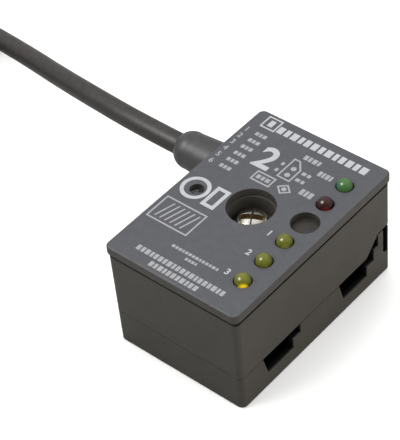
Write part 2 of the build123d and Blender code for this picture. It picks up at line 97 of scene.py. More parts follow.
screwAxis = middleOf("fixing_screw")
screwLow, screwHigh = (Vector(corner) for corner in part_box("fixing_screw"))

# shader helpers


def addNode(tree, kind, values=None, **settings):
    node = tree.nodes.new(kind)
    for key, value in settings.items():
        setattr(node, key, value)
    for socket, value in (values or {}).items():
        node.inputs[socket].default_value = value
    return node


def makeGroup(name, inputs, outputs):
    group = bpy.data.node_groups.new(name, "ShaderNodeTree")
    for label, kind, value in inputs:
        socket = group.interface.new_socket(name=label, in_out="INPUT", socket_type=kind)
        if value is not None:
            socket.default_value = value
    for label, kind in outputs:
        group.interface.new_socket(name=label, in_out="OUTPUT", socket_type=kind)
    return group, group.nodes.new("NodeGroupInput"), group.nodes.new("NodeGroupOutput")


def mathNode(tree, operation, first, second):
    node = addNode(tree, "ShaderNodeMath", operation=operation)
    for socket, value in ((0, first), (1, second)):
        if isinstance(value, (int, float)):
            node.inputs[socket].default_value = value
        else:
            tree.links.new(value, node.inputs[socket])
    return node.outputs[0]


def mixColours(tree, share, first, second):
    node = addNode(tree, "ShaderNodeMix", data_type="RGBA")
    for socket, value in ((0, share), (6, first), (7, second)):
        if isinstance(value, (tuple, list, int, float)):
            node.inputs[socket].default_value = value
        else:
            tree.links.new(value, node.inputs[socket])
    return node.outputs[2]


def spreadOver(tree, value, low, high):
    node = addNode(tree, "ShaderNodeMapRange", {"To Min": low, "To Max": high})
    tree.links.new(value, node.inputs["Value"])
    return node.outputs["Result"]


def rampOver(tree, value, low, high):
    node = addNode(tree, "ShaderNodeMapRange", {"From Min": low, "From Max": high},
                   interpolation_type="SMOOTHSTEP")
    tree.links.new(value, node.inputs["Value"])
    return node.outputs["Result"]


def noiseAt(tree, where, scale, detail=2.0, roughness=0.5):
    node = addNode(tree, "ShaderNodeTexNoise", {"Detail": detail, "Roughness": roughness})
    tree.links.new(where, node.inputs["Vector"])
    if isinstance(scale, (int, float)):
        node.inputs["Scale"].default_value = scale
    else:
        tree.links.new(scale, node.inputs["Scale"])
    return node.outputs["Fac"]


# fine spark-eroded surface of a moulding: height, gloss patches and a faint cloudiness
grainMix = {"coarseScale": 0.22, "fineShare": 0.7, "coarseShare": 0.3}


def makeMouldGrain():
    group, inside, out = makeGroup(
        "mouldGrain",
        [("Grain Scale", "NodeSocketFloat", 9000.0), ("Cloud Scale", "NodeSocketFloat", 160.0)],
        [("Height", "NodeSocketFloat"), ("Gloss", "NodeSocketFloat"), ("Cloud", "NodeSocketFloat")])
    where = addNode(group, "ShaderNodeTexCoord").outputs["Object"]
    grain = noiseAt(group, where, inside.outputs["Grain Scale"], 3.0, 0.6)
    coarseScale = mathNode(group, "MULTIPLY", inside.outputs["Grain Scale"], grainMix["coarseScale"])
    coarse = noiseAt(group, where, coarseScale, 2.0)
    height = mathNode(group, "ADD", mathNode(group, "MULTIPLY", grain, grainMix["fineShare"]),
                      mathNode(group, "MULTIPLY", coarse, grainMix["coarseShare"]))
    cloud = noiseAt(group, where, inside.outputs["Cloud Scale"], 4.0, 0.55)
    group.links.new(height, out.inputs["Height"])
    group.links.new(coarse, out.inputs["Gloss"])
    group.links.new(cloud, out.inputs["Cloud"])
    return group


# rounds the sharp edges for the light and marks them as rubbed, which paints them paler, as wear and as a
# painted edge highlight
rubAndHighlightGain = 5.0


def makeSoftEdges():
    group, inside, out = makeGroup(
        "softEdges",
        [("Radius", "NodeSocketFloat", 0.0002), ("Breakup", "NodeSocketFloat", 1200.0)],
        [("Normal", "NodeSocketVector"), ("Rub And Highlight", "NodeSocketFloat")])
    bevel = addNode(group, "ShaderNodeBevel", samples=4)
    group.links.new(inside.outputs["Radius"], bevel.inputs["Radius"])
    plain = addNode(group, "ShaderNodeNewGeometry")
    turn = addNode(group, "ShaderNodeVectorMath", operation="DOT_PRODUCT")
    group.links.new(bevel.outputs[0], turn.inputs[0])
    group.links.new(plain.outputs["Normal"], turn.inputs[1])
    edge = mathNode(group, "SUBTRACT", 1.0, turn.outputs["Value"])
    edge = mathNode(group, "MULTIPLY", edge, rubAndHighlightGain)
    where = addNode(group, "ShaderNodeTexCoord").outputs["Object"]
    patches = noiseAt(group, where, inside.outputs["Breakup"], 3.0)
    rubAndHighlight = addNode(group, "ShaderNodeClamp")
    group.links.new(mathNode(group, "MULTIPLY", edge, patches), rubAndHighlight.inputs["Value"])
    group.links.new(bevel.outputs[0], out.inputs["Normal"])
    group.links.new(rubAndHighlight.outputs[0], out.inputs["Rub And Highlight"])
    return group


# thin dust on what looks up
dustSpread = (-0.9, 1.5)                      # starts below nothing, so that most stays clean


def makeDustVeil():
    group, inside, out = makeGroup(
        "dustVeil",
        [("Scale", "NodeSocketFloat", 700.0)],
        [("Dust", "NodeSocketFloat")])
    geometry = addNode(group, "ShaderNodeNewGeometry")
    split = addNode(group, "ShaderNodeSeparateXYZ")
    group.links.new(geometry.outputs["Normal"], split.inputs[0])
    where = addNode(group, "ShaderNodeTexCoord").outputs["Object"]
    specks = noiseAt(group, where, inside.outputs["Scale"], 6.0, 0.7)
    specks = spreadOver(group, specks, *dustSpread)
    dust = addNode(group, "ShaderNodeClamp")
    group.links.new(mathNode(group, "MULTIPLY", specks, split.outputs["Z"]), dust.inputs["Value"])
    group.links.new(dust.outputs[0], out.inputs["Dust"])
    return group


# fine turning lines round an axis through a point
turningWave = {"Distortion": 2.0, "Detail": 3.0, "Detail Scale": 1.5}
turningPatches = 1500.0


def makeTurningLines():
    group, inside, out = makeGroup(
        "turningLines",
        [("Axis Point", "NodeSocketVector", (0, 0, 0)), ("Pitch", "NodeSocketFloat", 9000.0)],
        [("Height", "NodeSocketFloat"), ("Gloss", "NodeSocketFloat")])
    where = addNode(group, "ShaderNodeTexCoord").outputs["Object"]
    shift = addNode(group, "ShaderNodeVectorMath", operation="SUBTRACT")
    group.links.new(where, shift.inputs[0])
    group.links.new(inside.outputs["Axis Point"], shift.inputs[1])
    rings = addNode(group, "ShaderNodeTexWave", turningWave, wave_type="RINGS", rings_direction="Z")
    group.links.new(shift.outputs[0], rings.inputs["Vector"])
    group.links.new(inside.outputs["Pitch"], rings.inputs["Scale"])
    group.links.new(rings.outputs["Fac"], out.inputs["Height"])
    group.links.new(noiseAt(group, where, turningPatches, 3.0), out.inputs["Gloss"])
    return group


# masks for painted shade inside the body, in mm: openings below are painted near black, wells above are
# painted darker or lighter, and a band between two heights is painted darker
innerDepth = {"corner": 1.3, "starts": 0.45, "full": 0.85, "foot": (0.2, 1.0), "face": (0.2, 0.7),
              "wellShare": 0.6}                # of the height, above which an opening is a well


def makeInnerShade():
    group, inside, out = makeGroup(
        "innerShade",
        [("Band Low", "NodeSocketFloat", 1.0), ("Band High", "NodeSocketFloat", 1.0)],
        [("Opening", "NodeSocketFloat"), ("Well", "NodeSocketFloat"), ("Band", "NodeSocketFloat")])
    split = addNode(group, "ShaderNodeSeparateXYZ")
    group.links.new(addNode(group, "ShaderNodeTexCoord").outputs["Object"], split.inputs[0])
    corner = innerDepth["corner"] * mm
    reach = addNode(group, "ShaderNodeCombineXYZ")
    for axis, half in (("X", halfWidth), ("Y", halfLength)):
        away = mathNode(group, "ABSOLUTE", split.outputs[axis], 0.0)
        past = mathNode(group, "SUBTRACT", away, half - corner)
        group.links.new(mathNode(group, "MAXIMUM", past, 0.0), reach.inputs[axis])
    length = addNode(group, "ShaderNodeVectorMath", operation="LENGTH")
    group.links.new(reach.outputs[0], length.inputs[0])
    depth = mathNode(group, "SUBTRACT", corner, length.outputs["Value"])
    deep = rampOver(group, depth, innerDepth["starts"] * mm, innerDepth["full"] * mm)
    overFoot = rampOver(group, split.outputs["Z"], *(height * mm for height in innerDepth["foot"]))
    underFace = rampOver(group, split.outputs["Z"],
                         *(faceHeight - drop * mm for drop in innerDepth["face"]))
    deep = mathNode(group, "MULTIPLY", deep, mathNode(group, "MULTIPLY", overFoot, underFace))
    isWell = mathNode(group, "GREATER_THAN", split.outputs["Z"], innerDepth["wellShare"] * faceHeight)
    well = mathNode(group, "MULTIPLY", deep, isWell)
    group.links.new(mathNode(group, "SUBTRACT", deep, well), out.inputs["Opening"])
    group.links.new(well, out.inputs["Well"])
    overLow = mathNode(group, "GREATER_THAN", split.outputs["Z"], inside.outputs["Band Low"])
    underHigh = mathNode(group, "LESS_THAN", split.outputs["Z"], inside.outputs["Band High"])
    group.links.new(mathNode(group, "MULTIPLY", overLow, underHigh), out.inputs["Band"])
    return group


# a resin dome with painted light: brighter on one side and a painted shade darker on the other, with a
# painted caustic of gathered light on another side
litSideRange = (-1.0, 0.5)                       # of the way across the dome
coreRange = (0.68, 0.98)


def makeDomeGlow():
    group, inside, out = makeGroup(
        "domeGlow",
        [("Middle", "NodeSocketVector", (0, 0, 0)), ("Bright Side", "NodeSocketVector", (0, 0, 1)),
         ("Core Side", "NodeSocketVector", (0, 0, 1)), ("Reach", "NodeSocketFloat", 0.0015)],
        [("Painted Light", "NodeSocketFloat"), ("Painted Caustic", "NodeSocketFloat")])
    shift = addNode(group, "ShaderNodeVectorMath", operation="SUBTRACT")
    group.links.new(addNode(group, "ShaderNodeTexCoord").outputs["Object"], shift.inputs[0])
    group.links.new(inside.outputs["Middle"], shift.inputs[1])
    for source, target, reach in (("Bright Side", "Painted Light", litSideRange), ("Core Side", "Painted Caustic", coreRange)):
        side = addNode(group, "ShaderNodeVectorMath", operation="DOT_PRODUCT")
        group.links.new(shift.outputs[0], side.inputs[0])
        group.links.new(inside.outputs[source], side.inputs[1])
        share = mathNode(group, "DIVIDE", side.outputs["Value"], inside.outputs["Reach"])
        group.links.new(rampOver(group, share, *reach), out.inputs[target])
    return group


groups = {
    "grain": makeMouldGrain(),
    "edges": makeSoftEdges(),
    "dust": makeDustVeil(),
    "turning": makeTurningLines(),
    "shade": makeInnerShade(),
    "glow": makeDomeGlow(),
}


def placeGroup(tree, name, values=None):
    node = tree.nodes.new("ShaderNodeGroup")
    node.node_tree = groups[name]
    for socket, value in (values or {}).items():
        node.inputs[socket].default_value = value
    return node


def newMaterial(name):
    material = bpy.data.materials.new(name)
    material.use_nodes = True
    tree = material.node_tree
    return material, tree, tree.nodes["Principled BSDF"]


def bumpFrom(tree, shader, height, distance, normal=None, strength=1.0):
    bump = addNode(tree, "ShaderNodeBump", {"Distance": distance, "Strength": strength})
    tree.links.new(height, bump.inputs["Height"])
    if normal is not None:
        tree.links.new(normal, bump.inputs["Normal"])
    tree.links.new(bump.outputs[0], shader.inputs["Normal"])


# moulded plastic and rubber. Bands are heights in mm, painted a shade darker; dark scales the wells'
# colour, as painted shade below one and as painted light above one
dustColour = (0.55, 0.54, 0.51)
# painted shadow: the near black put into the openings
openingShadowColour = (0.0015, 0.0014, 0.0012)
# painted light: sides that look up take the face's paler, bluer colour
litFaceTurn = (0.75, 0.97)                       # how far a side looks up before it counts as the face
faceCloud = 0.93
noBand = (1000, 1000)
mouldingGloss = 0.28
rippleScale = 520.0
mouldings = {
    "coverMoulding": {
        "colour": (0.04, 0.038, 0.034), "shade": (0.031, 0.029, 0.026), "rubAndHighlight": (0.1, 0.1, 0.098),
        "rough": (0.46, 0.58), "grain": 0.00001, "edge": 0.00022, "dust": 0.03,
        # painted light: the face's colour, paler and bluer than the sides
        "face": (0.059, 0.06, 0.068), "dark": 0.95,
    },
    "housingMoulding": {
        "colour": (0.042, 0.038, 0.032), "shade": (0.029, 0.026, 0.022), "rubAndHighlight": (0.1, 0.098, 0.09),
        "rough": (0.48, 0.62), "grain": 0.000012, "edge": 0.00022, "dust": 0.03,
        "dark": 1.15, "band": (21.55, 22.65), "seam": 0.25,
    },
    "baseMoulding": {
        "colour": (0.04, 0.036, 0.029), "shade": (0.028, 0.025, 0.021), "rubAndHighlight": (0.1, 0.098, 0.09),
        "rough": (0.48, 0.64), "grain": 0.000012, "edge": 0.00018, "dust": 0.03,
        "dark": 0.5, "band": (7.75, 8.05), "seam": 0.4,
    },
    "reliefRubber": {
        "colour": (0.044, 0.042, 0.042), "shade": (0.035, 0.033, 0.033), "rubAndHighlight": (0.12, 0.115, 0.11),
        "rough": (0.36, 0.5), "grain": 0.000008, "edge": 0.00025, "dust": 0.05,
    },
    "sealRubber": {
        "colour": (0.03, 0.03, 0.031), "shade": (0.022, 0.022, 0.023), "rubAndHighlight": (0.06, 0.06, 0.06),
        "rough": (0.55, 0.72), "grain": 0.000006, "edge": 0.0001, "dust": 0.05,
    },
    "padRubber": {
        "colour": (0.018, 0.018, 0.018), "shade": (0.013, 0.013, 0.013), "rubAndHighlight": (0.05, 0.05, 0.05),
        "rough": (0.55, 0.72), "grain": 0.000008, "edge": 0.0001, "dust": 0.04,
    },
    "plugPlastic": {
        "colour": (0.02, 0.02, 0.022), "shade": (0.014, 0.014, 0.016), "rubAndHighlight": (0.1, 0.1, 0.1),
        "rough": (0.08, 0.16), "grain": 0.000004, "edge": 0.0001, "dust": 0.03,
        "gloss": 0.9, "ripple": 0.0009,
    },
    "blockMoulding": {
        "colour": (0.03, 0.03, 0.032), "shade": (0.022, 0.022, 0.024), "rubAndHighlight": (0.07, 0.07, 0.07),
        "rough": (0.4, 0.55), "grain": 0.000006, "edge": 0.0001, "dust": 0.04,
    },
    "chipMoulding": {
        "colour": (0.014, 0.014, 0.015), "shade": (0.01, 0.01, 0.011), "rubAndHighlight": (0.05, 0.05, 0.05),
        "rough": (0.42, 0.58), "grain": 0.000005, "edge": 0.00006, "dust": 0.05,
    },
    "ferriteCore": {
        "colour": (0.035, 0.033, 0.033), "shade": (0.024, 0.023, 0.023), "rubAndHighlight": (0.08, 0.08, 0.08),
        "rough": (0.5, 0.7), "grain": 0.000014, "edge": 0.00008, "dust": 0.05,
    },
    "resistorLacquer": {
        "colour": (0.02, 0.021, 0.026), "shade": (0.45, 0.44, 0.42), "rubAndHighlight": (0.4, 0.39, 0.37),
        "rough": (0.25, 0.4), "grain": 0.000003, "edge": 0.00008, "dust": 0.03,
    },
    "boardLacquer": {
        "colour": (0.012, 0.085, 0.036), "shade": (0.02, 0.135, 0.058), "rubAndHighlight": (0.25, 0.22, 0.12),
        "rough": (0.22, 0.38), "grain": 0.000006, "edge": 0.0001, "dust": 0.04,
    },
    "smokedWindow": {
        "colour": (0.023, 0.019, 0.015), "shade": (0.02, 0.017, 0.014), "rubAndHighlight": (0.05, 0.04, 0.035),
        "rough": (0.3, 0.4), "grain": 0.000002, "edge": 0.0001, "dust": 0.02,
    },
}


def makeMoulding(name):
    look = mouldings[name]
    material, tree, shader = newMaterial(name)
    shader.inputs["Specular IOR Level"].default_value = look.get("gloss", mouldingGloss)
    grain = placeGroup(tree, "grain")
    edges = placeGroup(tree, "edges", {"Radius": look["edge"]})
    dust = placeGroup(tree, "dust")
    colour = mixColours(tree, grain.outputs["Cloud"], (*look["shade"], 1), (*look["colour"], 1))
    if "face" in look:                        # painted light: the lid's face is painted paler and bluer than its sides, as the light falls on it from above
        split = addNode(tree, "ShaderNodeSeparateXYZ")
        tree.links.new(addNode(tree, "ShaderNodeNewGeometry").outputs["Normal"], split.inputs[0])
        litShare = rampOver(tree, split.outputs["Z"], *litFaceTurn)
        cloudy = (*(faceCloud * part for part in look["face"]), 1)
        litFace = mixColours(tree, grain.outputs["Cloud"], cloudy, (*look["face"], 1))
        colour = mixColours(tree, litShare, colour, litFace)
    # partly painted highlight: the edges are painted paler, as rubbed wear and as the light caught along
    # them
    colour = mixColours(tree, edges.outputs["Rub And Highlight"], colour, (*look["rubAndHighlight"], 1))
    veil = mathNode(tree, "MULTIPLY", dust.outputs["Dust"], look["dust"])
    colour = mixColours(tree, veil, colour, (*dustColour, 1))
    # painted shade in the band and the wells: darker, or lighter as painted light where a well's factor is
    # above one
    if "dark" in look:
        low, high = look.get("band", noBand)
        shade = placeGroup(tree, "shade", {"Band Low": low * mm, "Band High": high * mm})
        for output, share in (("Band", look.get("seam", 1.0)), ("Well", look["dark"])):
            paintedShadeOrLight = (*(share * part for part in look["colour"]), 1)
            colour = mixColours(tree, shade.outputs[output], colour, paintedShadeOrLight)
        # painted shadow: the openings are painted near black
        colour = mixColours(tree, shade.outputs["Opening"], colour, (*openingShadowColour, 1))
    tree.links.new(colour, shader.inputs["Base Color"])
    rough = spreadOver(tree, grain.outputs["Gloss"], *look["rough"])
    if "dark" in look:                        # the openings throw nothing back
        rough = mathNode(tree, "MAXIMUM", rough, shade.outputs["Opening"])
    tree.links.new(rough, shader.inputs["Roughness"])
    normal = edges.outputs["Normal"]
    if "ripple" in look:                      # pressed in by hand, not quite flat
        ripple = addNode(tree, "ShaderNodeBump", {"Distance": look["ripple"]})
        where = addNode(tree, "ShaderNodeTexCoord").outputs["Object"]
        tree.links.new(noiseAt(tree, where, rippleScale, 1.0), ripple.inputs["Height"])
        tree.links.new(normal, ripple.inputs["Normal"])
        normal = ripple.outputs[0]
    bumpFrom(tree, shader, grain.outputs["Height"], look["grain"], normal)
    return material


# bare and plated metal. In the screw's recess a painted shade darkens and browns the metal with depth; its
# reach and first and last depth are in mm
recessShade = {"reach": 2.42, "starts": 0.12, "full": 0.55}
metals = {
    "zincScrew": {"colour": (0.74, 0.72, 0.68), "dark": (0.56, 0.54, 0.50), "rough": (0.16, 0.30),
                  "recessShade": (0.30, 0.245, 0.155),
                  "axis": screwAxis, "pitch": 4200.0, "lines": 0.000004, "edge": 0.00008},
    "springSteel": {"colour": (0.30, 0.29, 0.28), "dark": (0.16, 0.155, 0.15), "rough": (0.25, 0.42),
                    "axis": screwAxis, "pitch": 5200.0, "lines": 0.000004, "edge": 0.00006},
    "turnedBrass": {"colour": (0.62, 0.43, 0.17), "dark": (0.42, 0.28, 0.10), "rough": (0.18, 0.34),
                    "axis": screwAxis, "pitch": 5200.0, "lines": 0.000005, "edge": 0.00008},
    "goldPlate": {"colour": (0.80, 0.56, 0.20), "dark": (0.60, 0.40, 0.14), "rough": (0.14, 0.28),
                  "axis": middleOf("bus_contacts"), "pitch": 3000.0, "lines": 0.000002, "edge": 0.00005},
    "canAluminium": {"colour": (0.62, 0.62, 0.63), "dark": (0.48, 0.48, 0.49), "rough": (0.24, 0.40),
                     "axis": middleOf("buffer_capacitor"), "pitch": 4000.0, "lines": 0.000003,
                     "edge": 0.0001},
    "tinnedSleeve": {"colour": (0.66, 0.65, 0.62), "dark": (0.50, 0.49, 0.46), "rough": (0.22, 0.36),
                     "axis": middleOf("core_ferrules"), "pitch": 2500.0, "lines": 0.000003,
                     "edge": 0.00006},
}


def makeMetal(name):
    look = metals[name]
    material, tree, shader = newMaterial(name)
    shader.inputs["Metallic"].default_value = 1.0
    lines = placeGroup(tree, "turning", {"Axis Point": look["axis"], "Pitch": look["pitch"]})
    edges = placeGroup(tree, "edges", {"Radius": look["edge"]})
    colour = mixColours(tree, lines.outputs["Gloss"], (*look["dark"], 1), (*look["colour"], 1))
    if "recessShade" in look:                      # painted shade: darker and browner down in the recess
        split = addNode(tree, "ShaderNodeSeparateXYZ")
        tree.links.new(addNode(tree, "ShaderNodeTexCoord").outputs["Object"], split.inputs[0])
        sunkShade = rampOver(tree, split.outputs["Z"], screwHigh.z - recessShade["starts"] * mm,
                        screwHigh.z - recessShade["full"] * mm)
        flat = addNode(tree, "ShaderNodeCombineXYZ")
        for axis in "XY":
            tree.links.new(split.outputs[axis], flat.inputs[axis])
        shift = addNode(tree, "ShaderNodeVectorMath", operation="DISTANCE")
        tree.links.new(flat.outputs[0], shift.inputs[0])
        shift.inputs[1].default_value = (screwAxis.x, screwAxis.y, 0)
        inRecess = mathNode(tree, "LESS_THAN", shift.outputs["Value"], recessShade["reach"] * mm)
        share = mathNode(tree, "MULTIPLY", sunkShade, inRecess)
        colour = mixColours(tree, share, colour, (*look["recessShade"], 1))
    tree.links.new(colour, shader.inputs["Base Color"])
    tree.links.new(spreadOver(tree, lines.outputs["Gloss"], *look["rough"]), shader.inputs["Roughness"])
    bumpFrom(tree, shader, lines.outputs["Height"], look["lines"], edges.outputs["Normal"])
    return material


# tinted resin of the signal lamps, each with the place of its own painted light and painted caustic
resins = {
    "powerResin": {"node": "power_led", "colour": (0.050, 0.125, 0.035), "deep": (0.024, 0.058, 0.016),
                   "core": (0.012, 0.130, 0.105), "light": 0.04, "coreSide": (-0.72, -0.62, 0.10)},
    "faultResin": {"node": "fault_led", "colour": (0.030, 0.008, 0.006), "deep": (0.004, 0.001, 0.001),
                   "core": (0.11, 0.010, 0.008), "light": 0.10},
    "inputResin1": {"node": "input_led_1", "colour": (0.108, 0.118, 0.009), "deep": (0.040, 0.044, 0.004),
                    "core": (0.15, 0.16, 0.05), "light": 0.10},
    "inputResin2": {"node": "input_led_2", "colour": (0.112, 0.122, 0.009), "deep": (0.036, 0.040, 0.004),
                    "core": (0.11, 0.12, 0.02), "light": 0.04},
    "outputResin": {"node": "output_led", "colour": (0.125, 0.128, 0.010), "deep": (0.055, 0.060, 0.005),
                    "core": (0.90, 0.60, 0.01), "light": 0.45},
}
domeLook = {"bright": (-0.66, -0.60, 0.45), "core": (0.60, -0.70, -0.15), "radius": 1.5, "clear": 0.08,
            "rough": (0.16, 0.26), "coat": 0.10, "bend": 1.38, "grain": 0.000003}


def makeDomeResin(name):
    look = resins[name]
    material, tree, shader = newMaterial(name)
    shader.inputs["IOR"].default_value = domeLook["bend"]
    shader.inputs["Transmission Weight"].default_value = domeLook["clear"]
    shader.inputs["Coat Weight"].default_value = domeLook["coat"]
    # painted glow: the painted caustic is also emitted
    shader.inputs["Emission Strength"].default_value = look["light"]
    low, high = (Vector(corner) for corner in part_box(look["node"]))
    middle = Vector(((low.x + high.x) / 2, (low.y + high.y) / 2, high.z - domeLook["radius"] * mm))
    glow = placeGroup(tree, "glow", {"Middle": middle, "Bright Side": domeLook["bright"],
                                     "Core Side": look.get("coreSide", domeLook["core"]),
                                     "Reach": domeLook["radius"] * mm})
    grain = placeGroup(tree, "grain", {"Grain Scale": 2500.0, "Cloud Scale": 500.0})
    # painted light and shade across the resin: deep is the painted shaded side, and a painted caustic
    # patch also glows
    colour = mixColours(tree, glow.outputs["Painted Light"], (*look["deep"], 1), (*look["colour"], 1))
    colour = mixColours(tree, glow.outputs["Painted Caustic"], colour, (*look["core"], 1))
    tree.links.new(colour, shader.inputs["Base Color"])
    tree.links.new(mixColours(tree, glow.outputs["Painted Caustic"], (0, 0, 0, 1), (*look["core"], 1)),
                   shader.inputs["Emission Color"])
    rough = spreadOver(tree, grain.outputs["Gloss"], *domeLook["rough"])
    tree.links.new(rough, shader.inputs["Roughness"])
    bumpFrom(tree, shader, grain.outputs["Height"], domeLook["grain"])
    return material


# sheath and insulation of the lead
sheathLook = {"gloss": 0.26, "dust": 0.05, "grain": 0.000012}
sheaths = {
    "leadSheath": {"colour": (0.026, 0.022, 0.019), "shade": (0.019, 0.016, 0.014), "rough": (0.38, 0.52)},
    "coreWhite": {"colour": (0.62, 0.61, 0.57), "shade": (0.52, 0.51, 0.48), "rough": (0.30, 0.42)},
    "coreBrown": {"colour": (0.12, 0.045, 0.018), "shade": (0.09, 0.034, 0.014), "rough": (0.30, 0.42)},
    "coreGreen": {"colour": (0.02, 0.16, 0.045), "shade": (0.014, 0.12, 0.034), "rough": (0.30, 0.42)},
    "coreYellow": {"colour": (0.66, 0.48, 0.03), "shade": (0.54, 0.39, 0.024), "rough": (0.30, 0.42)},
    "coreGrey": {"colour": (0.20, 0.20, 0.20), "shade": (0.16, 0.16, 0.16), "rough": (0.30, 0.42)},
    "corePink": {"colour": (0.62, 0.22, 0.24), "shade": (0.50, 0.17, 0.19), "rough": (0.30, 0.42)},
}


def makeSheath(name):
    look = sheaths[name]
    material, tree, shader = newMaterial(name)
    shader.inputs["Specular IOR Level"].default_value = sheathLook["gloss"]
    grain = placeGroup(tree, "grain", {"Grain Scale": 3500.0, "Cloud Scale": 110.0})
    dust = placeGroup(tree, "dust")
    colour = mixColours(tree, grain.outputs["Cloud"], (*look["shade"], 1), (*look["colour"], 1))
    veil = mathNode(tree, "MULTIPLY", dust.outputs["Dust"], sheathLook["dust"])
    colour = mixColours(tree, veil, colour, (*dustColour, 1))
    tree.links.new(colour, shader.inputs["Base Color"])
    tree.links.new(spreadOver(tree, grain.outputs["Gloss"], *look["rough"]), shader.inputs["Roughness"])
    bumpFrom(tree, shader, grain.outputs["Height"], sheathLook["grain"])
    return material


# printed ink, thin in places
inkGrain = 0.000008
inks = {
    "inkWhite": {"colour": (0.40, 0.40, 0.42), "thin": (0.30, 0.30, 0.32), "rough": (0.45, 0.60)},
    "inkGrey": {"colour": (0.30, 0.30, 0.31), "thin": (0.21, 0.21, 0.22), "rough": (0.45, 0.60)},
}


def makeInk(name):
    look = inks[name]
    material, tree, shader = newMaterial(name)
    grain = placeGroup(tree, "grain", {"Grain Scale": 6000.0, "Cloud Scale": 900.0})
    colour = mixColours(tree, grain.outputs["Cloud"], (*look["thin"], 1), (*look["colour"], 1))
    tree.links.new(colour, shader.inputs["Base Color"])
    tree.links.new(spreadOver(tree, grain.outputs["Gloss"], *look["rough"]), shader.inputs["Roughness"])
    bumpFrom(tree, shader, grain.outputs["Height"], inkGrain)
    return material


materials = {name: makeMoulding(name) for name in mouldings}
materials.update({name: makeInk(name) for name in inks})
materials.update({name: makeMetal(name) for name in metals})
materials.update({name: makeDomeResin(name) for name in resins})
materials.update({name: makeSheath(name) for name in sheaths})
print("materials ready:", len(materials))

# what each carried-over node is made of
finishOf = {
    "top_cover": "coverMoulding", "upper_housing": "housingMoulding", "cable_base": "baseMoulding",
    "screw_seal": "sealRubber", "retaining_ring": "springSteel",
    "threaded_insert": "turnedBrass", "infrared_window": "smokedWindow", "receiver_diode": "chipMoulding",
    "filler_plug": "plugPlastic",
    "circuit_board": "boardLacquer", "bus_chip": "chipMoulding", "controller_chip": "chipMoulding",
    "chokes": "ferriteCore", "buffer_capacitor": "canAluminium", "output_switch": "chipMoulding",
    "chip_resistors": "resistorLacquer", "bus_contacts": "goldPlate", "supply_contacts": "goldPlate",
    "bus_contact_block": "blockMoulding", "supply_contact_block": "blockMoulding", "bus_seal": "padRubber",
    "supply_seal": "padRubber", "strain_relief": "reliefRubber", "inner_cores": "coreWhite",
    "core_ferrules": "tinnedSleeve",
}


def dressNode(node, finish):
    obj = cadNodes[node]
    obj.data.materials.clear()
    obj.data.materials.append(materials[finish])
    return obj


for node, finish in finishOf.items():
    dressNode(node, finish)
for finish, look in resins.items():
    dressNode(look["node"], finish)
print("carried-over nodes dressed")

# fixing screw: crowned head with a wide cross recess, and a threaded shank, in mm
screw = {
    "headRadius": (screwHigh.x - screwLow.x) / 2 / mm,
    "seat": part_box("screw_seal")[1][2] / mm,
    "rimHeight": 1.55,                        # of the head's straight side
    "rimRound": 0.25,
    "top": screwHigh.z / mm,
    "shankRadius": 1.5,
    "tip": screwLow.z / mm,
    "armReach": 2.3,
    "armWidth": (1.5, 0.3),                   # along and across the recess's turn
    "armFoot": 0.5,                           # share of the width left at the recess's floor
    "armLean": 0.6,                           # how far an arm's end leans in towards the floor
    "cutterRise": 0.5,                        # of the cutter over the crown
    "headBreak": 0.15,                        # edge broken under the head
    "tipTaper": 0.3,
    "recessDepth": 1.3,
    "recessTurn": 30.0,
    "threadPitch": 0.5,
    "threadDepth": 0.12,
    "threadTop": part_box("retaining_ring")[0][2] / mm - 0.3,
    "grooveRadius": 1.2,
    "groove": (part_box("retaining_ring")[0][2] / mm - 0.05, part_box("retaining_ring")[1][2] / mm + 0.05),
    "sides": 64,
    "rimSteps": 4,
    "crownSteps": 10,
    "threadSteps": 6,                         # to a turn
    "sharpAngle": 35,
}


def latheRing(mesh, radius, height, sides, wobble=None):
    ring = []
    for step in range(sides):
        angle = 2 * math.pi * step / sides
        reach = radius - (wobble(angle, height) if wobble else 0.0)
        ring.append(mesh.verts.new((screwAxis.x + reach * mm * math.cos(angle),
                                    screwAxis.y + reach * mm * math.sin(angle), height * mm)))
    return ring


def screwProfile(look):
    rim = look["seat"] + look["rimHeight"]
    profile = [(look["grooveRadius"], look["groove"][0]), (look["grooveRadius"], look["groove"][1]),
               (look["shankRadius"], look["groove"][1]), (look["shankRadius"], look["seat"]),
               (look["headRadius"] - look["headBreak"], look["seat"]),
               (look["headRadius"], look["seat"] + look["headBreak"]),
               (look["headRadius"], rim)]
    crownBase = rim + look["rimRound"]
    edge = look["headRadius"] - look["rimRound"]
    for step in range(1, look["rimSteps"] + 1):
        turn = math.pi / 2 * step / look["rimSteps"]
        profile.append((edge + look["rimRound"] * math.cos(turn),
                        rim + look["rimRound"] * math.sin(turn)))
    for step in range(1, look["crownSteps"]):
        share = step / look["crownSteps"]
        bulge = 1 - (1 - share) ** 2
        profile.append((edge * (1 - share), crownBase + (look["top"] - crownBase) * bulge))
    return profile


def threadWobble(look):
    def cut(angle, height):
        share = (height / look["threadPitch"] - angle / (2 * math.pi)) % 1.0
        return look["threadDepth"] * (1 - abs(2 * share - 1))
    return cut


